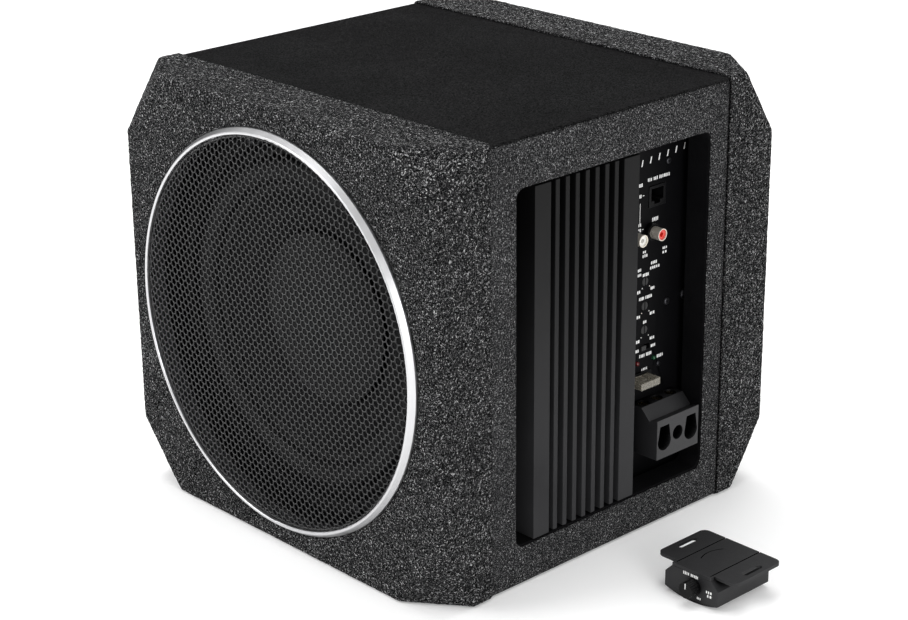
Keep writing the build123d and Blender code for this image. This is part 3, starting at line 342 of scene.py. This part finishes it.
FINISHES = {
    # enclosure
    "carpet": felt(
        "frame_felt", (0.002, 0.002, 0.0022), (0.112, 0.112, 0.115), (0.92, 0.92, 0.93), 1.15, 0.35, 0.0004,
    ),
    "wall_carpet": felt(
        "wall_felt", (0.006, 0.006, 0.0065), (0.10, 0.10, 0.102), (0.60, 0.60, 0.61), 1.4, 0.1, 0.0002,
    ),
    "lid_skin": lid_skin("lid_skin"),
    "board": wood_board("raw_board", (0.46, 0.35, 0.24), (0.28, 0.20, 0.13)),
    "black_board": wood_board("black_board", (0.006, 0.006, 0.0065), (0.002, 0.002, 0.0025), 0.1, 0.05),
    # drivers and grilles
    "ring_metal": satin_metal("ring_metal", (0.62, 0.62, 0.63), 0.36),
    "mesh_metal": coated(
        "mesh_metal", (0.004, 0.004, 0.0045), 0.19, 3000, 0.00001, Specular_IOR_Level=0.4,
    ),
    "basket_metal": coated(
        "basket_metal", (0.006, 0.006, 0.0065), 0.6, 1500, 0.00012, Specular_IOR_Level=0.2,
    ),
    "rubber": turned_rings(
        "rubber", (0.005, 0.005, 0.0055), 0.5, 0.0025, 0.00002, Specular_IOR_Level=0.2,
    ),
    "cone_paper": turned_rings(
        "cone_paper", (0.004, 0.004, 0.0045), 0.6, 0.004, 0.00006, Specular_IOR_Level=0.15,
    ),
    "cap_plastic": turned_rings(
        "cap_plastic", (0.005, 0.005, 0.0055), 0.42, 0.006, 0.00002, Specular_IOR_Level=0.25,
    ),
    "coil_copper": winding("coil_copper", (0.65, 0.32, 0.16)),
    "spider_cloth": cloth("spider_cloth", (0.50, 0.38, 0.17)),
    "zinc_steel": satin_metal("zinc_steel", (0.55, 0.55, 0.56), 0.38),
    "ferrite": coated("ferrite", (0.05, 0.05, 0.055), 0.6, 900, 0.0002),
    "black_screws": satin_metal("black_screws", (0.045, 0.045, 0.05), 0.35, 0.8),
    # amplifier
    "plate_paint": coated(
        "plate_paint", (0.0025, 0.0025, 0.003), 0.5, 2600, 0.00003, Specular_IOR_Level=0.06,
    ),
    # the sink's coat carries painted shade, darker towards its top
    "sink_anodised": coated(
        "sink_anodised", (0.026, 0.026, 0.0275), 0.42, 2200, 0.00003, painted_top_shade=0.1, Specular_IOR_Level=0.12,
    ),
    "housing_steel": satin_metal("housing_steel", (0.50, 0.50, 0.51), 0.4),
    "board_green": circuit_green("board_green"),
    "can_sleeve": coated("can_sleeve", (0.015, 0.02, 0.07), 0.25, 900, 0.00002),
    "winding_copper": winding("winding_copper", (0.60, 0.28, 0.12)),
    # connectors, controls and wires
    "chip_plastic": coated("chip_plastic", (0.015, 0.015, 0.015), 0.5, 2400, 0.00008),
    # painted shade in this plastic's corners and gaps
    "black_plastic": coated(
        "black_plastic", (0.003, 0.003, 0.0035), 0.45, 2600, 0.00004, painted_shade_reach=0.006, Specular_IOR_Level=0.16,
    ),
    "nickel": satin_metal("nickel", (0.70, 0.65, 0.57), 0.28, 0.6, 0.05),
    "white_plastic": coated("white_plastic", (0.72, 0.71, 0.67), 0.3, 1500, 0.00002, Coat_Weight=0.3),
    "red_plastic": coated("red_plastic", (0.62, 0.03, 0.018), 0.3, 1500, 0.00002, Coat_Weight=0.3),
    "green_lens": clear_plastic("green_lens", (0.015, 0.13, 0.05), 0.5, 0.2),
    "red_lens": clear_plastic("red_lens", (0.22, 0.012, 0.012), 0.5, 0.2),
    "fuse_plastic": clear_plastic("fuse_plastic", (0.42, 0.39, 0.32), 0.6, 0.2),
    # painted shade in the terminal block's ports, corners and gaps
    "block_plastic": coated(
        "block_plastic", (0.020, 0.020, 0.0215), 0.45, 1700, 0.00008, painted_shade_reach=0.022, Specular_IOR_Level=0.35,
    ),
    "screw_brass": satin_metal("screw_brass", (0.32, 0.25, 0.12), 0.24),
    "wire_sleeve": coated("wire_sleeve", (0.22, 0.015, 0.015), 0.35, 1200, 0.00003),
    # remote
    # painted shade in the remote case's corners and gaps
    "remote_plastic": coated(
        "remote_plastic", (0.014, 0.014, 0.015), 0.5, 2300, 0.00009, painted_shade_reach=0.006, Specular_IOR_Level=0.26,
    ),
    # painted shade in the remote plate's corners and gaps
    "remote_plate": coated(
        "remote_plate", (0.013, 0.013, 0.014), 0.55, 2300, 0.00009, painted_shade_reach=0.0025, Specular_IOR_Level=0.28,
    ),
    "knob_plastic": coated(
        "knob_plastic", (0.002, 0.002, 0.0022), 0.4, 2000, 0.00005, Specular_IOR_Level=0.12,
    ),
}
PRINT_WHITE = coated("print_white", (0.78, 0.78, 0.77), 0.55, 4000, 0.00002)
# controls in a greyer plastic than their slot's, so that they stand out from the plate
GREY_CONTROLS = ("level_trimmer", "boost_trimmer", "crossover_trimmer", "phase_slider")


def paint_nodes():
    """Each CAD node takes the finish of its own material slot, apart from the grey controls."""
    for name, node in nodes.items():
        for index, old in enumerate(node.data.materials):
            slot = "chip_plastic" if name in GREY_CONTROLS else old.name.split(".")[0]
            node.data.materials[index] = FINISHES[slot]


WELD_REACH = 0.01 * MM


def weld_points(obj):
    """Joins a mesh's doubled points."""
    obj.modifiers.new("weld", "WELD").merge_threshold = WELD_REACH


def soften(name, width):
    """Rounds a CAD node's sharp edges a little, so that they catch the light."""
    node = nodes[name]
    weld_points(node)
    bevel = node.modifiers.new("bevel", "BEVEL")
    bevel.width, bevel.segments, bevel.limit_method = width, 2, "ANGLE"
    bevel.angle_limit = math.radians(40)
    bevel.harden_normals = True


# width of each softened edge, in millimetres
SOFTENED = {
    "heatsink": 0.4, "terminal_block": 0.5, "remote_case": 0.6, "remote_bracket": 0.35, "amp_plate": 0.3,
    "fuse": 0.5, "fuse_holder": 0.3, "control_socket": 0.3, "right_panel": 0.5, "phase_slider": 0.2,
    "remote_socket": 0.2, "rca_insert_white": 0.3, "rca_insert_red": 0.3, "remote_knob": 0.15,
}


# ---------------------------------------------------------------- pieces

def piece(name, points, faces, material, smooth=False):
    """A new mesh object from points and faces."""
    mesh = bpy.data.meshes.new(name)
    mesh.from_pydata([tuple(p) for p in points], [], faces)
    mesh.materials.append(material)
    mesh.polygons.foreach_set("use_smooth", [smooth] * len(faces))
    mesh.update()
    made = bpy.data.objects.new(name, mesh)
    scene.collection.objects.link(made)
    return made


def apply_modifiers(obj):
    """Turns a piece's modifiers into its mesh."""
    graph = bpy.context.evaluated_depsgraph_get()
    mesh = bpy.data.meshes.new_from_object(obj.evaluated_get(graph))
    obj.modifiers.clear()
    obj.data = mesh


GRILLE_RADIUS = 131.0 * MM
GRILLE_BORDER = 2.0 * MM  # solid rim in front of the ring's lip
GRILLE_LEVEL = 155.6 * MM
GRILLE_DOME, GRILLE_RIM = 2.0 * MM, 9.0 * MM
CELL_PITCH, CELL_BAR = 4.9 * MM, 0.95 * MM
CELL_TURN = math.radians(-13.5)
CELL_LEAST = 0.3 * MM  # a cell that reaches less than this into the disc is left out
GRILLE_SHEET = 1.0 * MM
GRID = 0.001 * MM  # points closer than this are one
# section of half a bar: (share of the way from the bar's ridge to the hole, depth under the ridge)
BAR_SECTION = ((0.0, 0.0), (0.5, 0.10 * MM), (1.0, 0.5 * MM), (1.0, GRILLE_SHEET), (0.0, GRILLE_SHEET))


def grille(name, node, facing):
    """Honeycomb sheet with rounded bars, rolled back at its rim. Cells share each bar's ridge."""
    reach = int(2 * GRILLE_RADIUS / CELL_PITCH)
    outer = CELL_PITCH / math.sqrt(3)
    inner = (CELL_PITCH - CELL_BAR) / math.sqrt(3)
    across = Vector((math.cos(CELL_TURN), math.sin(CELL_TURN)))
    upward = Vector((-across.y, across.x))
    corners = [CELL_TURN + math.radians(60 * k + 30) for k in range(6)]
    ways = [Vector((math.cos(corner), math.sin(corner))) for corner in corners]
    points, index, faces, rims = [], {}, [], {}

    def point(p, depth, limit):
        """The number of the point at p and that depth, which is made once."""
        if p.length > limit:
            p = p.normalized() * limit
        key = (round(p.x / GRID), round(p.y / GRID), depth)
        if key not in index:
            inset = min(1.0, (GRILLE_RADIUS - p.length) / GRILLE_RIM)
            height = GRILLE_LEVEL + GRILLE_SHEET + GRILLE_DOME * (1 - (1 - inset) ** 2) - depth
            index[key] = len(points)
            points.append((p.x * facing, -height * facing, AXIS_Z + p.y))
        return index[key]

    for row in range(-reach, reach + 1):
        for column in range(-reach, reach + 1):
            along, above = (column + 0.5 * (row % 2)) * CELL_PITCH, row * CELL_PITCH * math.sqrt(0.75)
            centre = across * along + upward * above
            if min((centre + way * outer).length for way in ways) > GRILLE_RADIUS - CELL_LEAST:
                continue
            columns = []
            for way in ways:
                line = []
                for share, depth in BAR_SECTION:
                    limit = GRILLE_RADIUS - share * GRILLE_BORDER
                    line.append(point(centre + way * (outer + (inner - outer) * share), depth, limit))
                columns.append(line)
            for k in range(6):
                here, there = columns[k], columns[(k + 1) % 6]
                for level in range(len(BAR_SECTION) - 1):
                    quad = (here[level], here[level + 1], there[level + 1], there[level])
                    distinct = list(dict.fromkeys(quad))
                    if len(distinct) >= 3:
                        faces.append(distinct)
                rims[here[0], there[0]] = (here[-1], there[-1])
    for (a, b), (c, d) in rims.items():
        if a != b and (b, a) not in rims:
            faces.append([a, b, d, c])
    made = piece(name, points, faces, FINISHES["mesh_metal"], True)
    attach(made, "enclosure")
    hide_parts(node)


ROLL_OUTER, ROLL_INNER, ROLL_LEVEL, ROLL_SKIN = 112.0 * MM, 93.0 * MM, 124.0 * MM, 1.2 * MM
ROLL_STEPS, ROLL_FOOT = 16, 0.8 * MM
LAND_OUTER, LAND_INNER = 120.0 * MM, 87.0 * MM
SPIDER_INNER, SPIDER_OUTER, SPIDER_LEVEL, SPIDER_SKIN = 26.1 * MM, 63.0 * MM, 73.2 * MM, 0.8 * MM
SPIDER_LANDS, WAVE_HEIGHT = (3.0 * MM, 6.0 * MM), 2.0 * MM
WAVES, WAVE_STEPS = 4, 10
SECTORS, STEPS = 24, 6


def ring_sectors(name, upper, node, facing, slot, skin):
    """A turned skin in sectors, each its own piece round the axis."""
    span = 2 * math.pi / SECTORS
    profile = upper + [(r, h - skin) for r, h in reversed(upper)]
    count = len(profile)
    for number in range(SECTORS):
        points, faces = [], []
        for step in range(STEPS + 1):
            angle = (number + step / STEPS) * span
            for r, h in profile:
                points.append((r * math.cos(angle), -h * facing, AXIS_Z + r * math.sin(angle)))
        for step in range(STEPS):
            for k in range(count):
                a, b = step * count + k, step * count + (k + 1) % count
                face = [a, b, b + count, a + count]
                faces.append(face if facing > 0 else face[::-1])
        made = piece(f"{name}_{number:02d}", points, faces, FINISHES[slot], True)
        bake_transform(made)
        if number == 0:
            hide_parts(node)


def surround(name, node, facing):
    """Half-roll rubber surround with its two flat lands."""
    middle, radius = (ROLL_OUTER + ROLL_INNER) / 2, (ROLL_OUTER - ROLL_INNER) / 2
    top = ROLL_LEVEL + ROLL_SKIN
    line = [(LAND_OUTER, top), (ROLL_OUTER + ROLL_FOOT, top)]
    for i in range(ROLL_STEPS + 1):
        angle = math.pi * i / ROLL_STEPS
        line.append((middle + radius * math.cos(angle), top + (radius - ROLL_SKIN) * math.sin(angle)))
    line += [(ROLL_INNER - ROLL_FOOT, top), (LAND_INNER, top)]
    ring_sectors(name, line, node, facing, "rubber", ROLL_SKIN)


def spider(name, node):
    """Corrugated cloth between the voice coil's former and the basket."""
    first, last = SPIDER_INNER + SPIDER_LANDS[0], SPIDER_OUTER - SPIDER_LANDS[1]
    line = [(SPIDER_OUTER, SPIDER_LEVEL), (last, SPIDER_LEVEL)]
    steps = WAVES * WAVE_STEPS
    for i in range(steps + 1):
        share = i / steps
        height = SPIDER_LEVEL + WAVE_HEIGHT * math.sin(2 * math.pi * WAVES * share)
        line.append((last + (first - last) * share, height))
    line += [(first, SPIDER_LEVEL), (SPIDER_INNER, SPIDER_LEVEL)]
    ring_sectors(name, line, node, 1, "spider_cloth", SPIDER_SKIN)


SEAM_REACH = 1.4 * MM
FRAME_SEAM, WALL_SEAM = 108.7 * MM, 109.3 * MM  # the frames' felt just overlaps the walls', so no gap shows
# (size in grains, share of the depth) of each layer of lumps, made of waves that run every way
LUMPS = ((1, 0.3), (4, 0.25), (18, 0.35))
LUMP_WAVES, LUMP_STRETCH = 9, 1.8
PILE_SHARE = 0.55
FELT_SEED = 11
# (piece, node, slot, voxel, depth, grain, seam)
FELTS = (
    ("front_felt", "front_carpet", "carpet", 1.5 * MM, 0.55 * MM, 1.6 * MM, FRAME_SEAM),
    ("rear_felt", "rear_carpet", "carpet", 1.5 * MM, 0.55 * MM, 1.6 * MM, FRAME_SEAM),
    ("wall_felt", "body_carpet", "wall_carpet", 2.0 * MM, 0.18 * MM, 2.2 * MM, WALL_SEAM),
)


def felted(name, node, slot, voxel, depth, grain, seam):
    """The carpet's own thickness as an even mesh, then roughened like needle felt."""
    made = bpy.data.objects.new(name, nodes[node].data.copy())
    scene.collection.objects.link(made)
    weld_points(made)
    remesh = made.modifiers.new("even", "REMESH")
    remesh.mode, remesh.voxel_size, remesh.use_smooth_shade = "VOXEL", voxel, True
    bpy.context.view_layer.update()
    apply_modifiers(made)
    made.data.materials.clear()
    made.data.materials.append(FINISHES[slot])
    roughen(made, depth, grain, seam)
    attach(made, "enclosure")
    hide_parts(node)


def roughen(obj, depth, grain, seam):
    """Moves each point inward by a seeded mix of lumps and pile, and brings the edges to the seam."""
    mesh = obj.data
    count = len(mesh.vertices)
    co = np.zeros(count * 3)
    mesh.vertices.foreach_get("co", co)
    normal = np.zeros(count * 3)
    mesh.vertices.foreach_get("normal", normal)
    co, normal = co.reshape(-1, 3), normal.reshape(-1, 3)
    draw = np.random.default_rng(FELT_SEED)
    height = PILE_SHARE * draw.random(count)
    for times, weight in LUMPS:
        waves = draw.normal(size=(LUMP_WAVES, 3)) * 2 * math.pi / (times * grain) / LUMP_STRETCH
        phase = draw.random(LUMP_WAVES) * 2 * math.pi
        height += weight * (0.5 + 0.5 * np.sin(co @ waves.T + phase).mean(1) * 2)
    at_seam = np.abs(np.abs(co[:, 1]) - seam) < SEAM_REACH
    co -= normal * (height * depth)[:, None]
    co[at_seam, 1] = np.sign(co[at_seam, 1]) * seam
    mesh.vertices.foreach_set("co", co.ravel())
    mesh.update()


# ---------------------------------------------------------------- printed marks

def bars(name, places, material, body):
    """Thin raised bars in one mesh. Each place is a (low corner, high corner) box."""
    points, faces = [], []
    for low, high in places:
        base = len(points)
        for x in (low[0], high[0]):
            for y in (low[1], high[1]):
                for z in (low[2], high[2]):
                    points.append((x, y, z))
        for quad in ((0, 1, 3, 2), (4, 6, 7, 5), (0, 4, 5, 1), (2, 3, 7, 6), (0, 2, 6, 4), (1, 5, 7, 3)):
            faces.append([base + k for k in quad])
    made = piece(name, points, faces, material)
    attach(made, body)


PLATE_X = 125.0 * MM
PRINT = 0.06 * MM  # how far print stands out
WORD_GAP = 0.7  # of a stroke's cell
# (middle y, middle z, width, height, strokes in each word) in millimetres
PLATE_MARKS = (
    (71.0, 233.6, 21.6, 2.5, (3, 3, 7)), (53.6, 231.5, 3.8, 2.6, (3,)), (53.6, 224.0, 2.4, 2.6, (2,)),
    (53.4, 204.4, 2.8, 2.4, (2,)), (53.4, 200.6, 3.0, 2.6, (2,)),
    (68.5, 205.4, 6.4, 2.8, (4,)), (59.4, 181.8, 5.4, 2.3, (3,)), (58.6, 184.6, 3.4, 1.7, (2,)),
    (78.8, 183.0, 5.0, 1.9, (3,)), (78.8, 180.0, 5.0, 1.9, (2,)),
    (68.2, 175.2, 6.0, 2.2, (4,)), (69.4, 171.8, 10.0, 2.3, (5,)),
    (54.2, 172.8, 3.6, 2.2, (3,)), (54.2, 169.4, 3.6, 2.2, (3,)),
    (60.5, 168.4, 6.4, 2.4, (4,)), (54.0, 157.4, 3.6, 2.2, (2,)), (67.4, 157.4, 4.2, 2.2, (3,)),
    (60.6, 152.2, 12.8, 2.4, (4, 5)), (54.0, 139.8, 3.6, 2.2, (2,)), (67.6, 139.6, 4.8, 2.2, (3,)),
    (60.6, 134.9, 3.8, 2.3, (2,)), (54.0, 122.2, 3.8, 2.3, (2,)), (68.2, 121.6, 5.0, 2.3, (3,)),
    (53.6, 115.6, 3.6, 2.3, (2,)), (69.4, 115.8, 5.0, 2.3, (3,)), (61.8, 111.0, 12.4, 2.5, (4, 4)),
    (76.6, 106.6, 6.6, 2.4, (4,)), (61.2, 100.6, 6.2, 2.4, (4,)),
)
# (middle y, middle z, width, height) of plain lines and of the dots at both ends of each trimmer's turn
PLATE_LINES = (
    (53.2, 212.2, 0.4, 14.0), (56.2, 224.0, 1.6, 0.4), (56.2, 200.8, 1.6, 0.4),
    (57.0, 159.4, 0.7, 0.7), (64.2, 159.4, 0.7, 0.7), (57.0, 141.8, 0.7, 0.7), (64.2, 141.8, 0.7, 0.7),
    (57.0, 124.4, 0.7, 0.7), (64.2, 124.4, 0.7, 0.7),
)


def strokes(middle, width, height, words):
    """A label as words of upright strokes: the look of small print, with no letters in it."""
    cell = width / (sum(words) + WORD_GAP * (len(words) - 1))
    left = middle[0] - width / 2
    made = []
    for count in words:
        for _ in range(count):
            thick = cell * (0.5 + 0.25 * random.random())
            bottom = middle[1] - height / 2 * (0.8 + 0.2 * random.random())
            top = middle[1] + height / 2 * (0.8 + 0.2 * random.random())
            made.append((left, left + thick, bottom, top))
            left += cell
        left += WORD_GAP * cell
    return made


def plate_marks():
    """Generic bars, ticks and lines where a plate carries its print."""
    flat = []
    for y, z, width, height, words in PLATE_MARKS:
        flat += strokes((y, z), width, height, words)
    for y, z, width, height in PLATE_LINES:
        flat.append((y - width / 2, y + width / 2, z - height / 2, z + height / 2))
    boxes = [((PLATE_X, a * MM, c * MM), (PLATE_X + PRINT, b * MM, d * MM)) for a, b, c, d in flat]
    bars("plate_marks", boxes, PRINT_WHITE, "enclosure")


HEADER_STROKES = 6
HEADER_START, HEADER_STEP = (54.5, 246.2), (8.2, 0.7)  # middle y and z of the strokes, in millimetres
HEADER_HALF, HEADER_RISE, HEADER_LEAN = 0.5, 2.2, 0.5  # half width, half height and slant, in millimetres


def plate_header():
    """Plain slanted strokes at the head of the plate."""
    low, high = -HEADER_LEAN, HEADER_LEAN
    outline = (
        (low - HEADER_HALF, -HEADER_RISE), (low + HEADER_HALF, -HEADER_RISE),
        (high + HEADER_HALF, HEADER_RISE), (high - HEADER_HALF, HEADER_RISE),
    )
    points, faces = [], []
    for i in range(HEADER_STROKES):
        y, z = HEADER_START[0] + HEADER_STEP[0] * i, HEADER_START[1] + HEADER_STEP[1] * i
        base = len(points)
        for x in (PLATE_X, PLATE_X + PRINT):
            for dy, dz in outline:
                points.append((x, (y + dy) * MM, (z + dz) * MM))
        for quad in ((0, 1, 2, 3), (7, 6, 5, 4), (0, 4, 5, 1), (1, 5, 6, 2), (2, 6, 7, 3), (3, 7, 4, 0)):
            faces.append([base + k for k in quad])
    made = piece("plate_header", points, faces, PRINT_WHITE)
    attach(made, "enclosure")


REMOTE_FRONT = -20.0 * MM
# (middle x, middle z, width, height, strokes in each word) in millimetres
REMOTE_MARKS = (
    (239.9, 18.4, 12.6, 2.2, (4, 5)), (233.6, 7.2, 1.4, 2.6, (1,)), (247.0, 4.6, 3.4, 1.6, (3,)),
    (255.0, 11.6, 5.0, 1.8, (3,)), (255.6, 9.0, 4.2, 1.8, (2,)),
)
# opposite corners of the pale pointer on the knob's face
POINTER = ((242.2 * MM, -28.52 * MM, 12.6 * MM), (242.8 * MM, -27.95 * MM, 16.4 * MM))


def remote_marks():
    """Generic bars on the remote's front face, and the pale pointer on its knob."""
    flat = []
    for x, z, width, height, words in REMOTE_MARKS:
        flat += strokes((x, z), width, height, words)
    boxes = [((a * MM, REMOTE_FRONT - PRINT, c * MM), (b * MM, REMOTE_FRONT, d * MM)) for a, b, c, d in flat]
    bars("remote_marks", boxes, PRINT_WHITE, "remote")
    bars("knob_pointer", [POINTER], PRINT_WHITE, "remote_dial")


# ---------------------------------------------------------------- studio

FLOOR_HALF = 6.0
FLOOR_LIFT = 0.12  # a little light of its own keeps the paper near the photograph's white
SKY_STRENGTH = 0.75
# (name, place, target, size, power)
LIGHTS = (
    ("key", (-0.9, -1.7, 1.5), (0, 0, 0.15), (1.0, 1.0), 26.0),
    ("side", (2.1, -0.7, 0.8), (0, 0, 0.15), (0.9, 1.0), 18.0),
    ("top", (-0.3, 0.3, 2.1), (-0.1, 0.1, 0.0), (1.4, 1.4), 26.0),
)


def studio():
    """A plain pale floor, a soft sky and three large soft lights."""
    paper = Shader(
        "floor_paper", (0.93, 0.93, 0.93), 0.8, Emission_Color=(1, 1, 1, 1), Emission_Strength=FLOOR_LIFT,
    )
    corners = [(-FLOOR_HALF, -FLOOR_HALF, 0), (FLOOR_HALF, -FLOOR_HALF, 0)]
    corners += [(FLOOR_HALF, FLOOR_HALF, 0), (-FLOOR_HALF, FLOOR_HALF, 0)]
    piece("floor", corners, [[0, 1, 2, 3]], paper.material)
    world = bpy.data.worlds.new("studio")
    world.use_nodes = True
    sky = world.node_tree.nodes["Background"]
    sky.inputs["Color"].default_value = (1.0, 1.0, 1.0, 1)
    sky.inputs["Strength"].default_value = SKY_STRENGTH
    scene.world = world
    scene.view_settings.view_transform = "Standard"
    for name, place, target, size, power in LIGHTS:
        data = bpy.data.lights.new(name, "AREA")
        data.shape, data.size, data.size_y, data.energy = "RECTANGLE", size[0], size[1], power
        light = bpy.data.objects.new(name, data)
        way = (Vector(target) - Vector(place)).normalized()
        light.matrix_world = Matrix.Translation(place) @ way.to_track_quat("-Z", "Y").to_matrix().to_4x4()
        scene.collection.objects.link(light)


# ---------------------------------------------------------------- the scene

make_camera()
paint_nodes()
for node_name, width in SOFTENED.items():
    soften(node_name, width * MM)
grille("front_honeycomb", "front_grille_mesh", 1)
grille("rear_honeycomb", "rear_grille_mesh", -1)
surround("front_roll", "woofer_surround", 1)
surround("rear_roll", "passive_surround", -1)
spider("spider_cloth", "spider")
for row in FELTS:
    felted(*row)
plate_marks()
plate_header()
remote_marks()
studio()
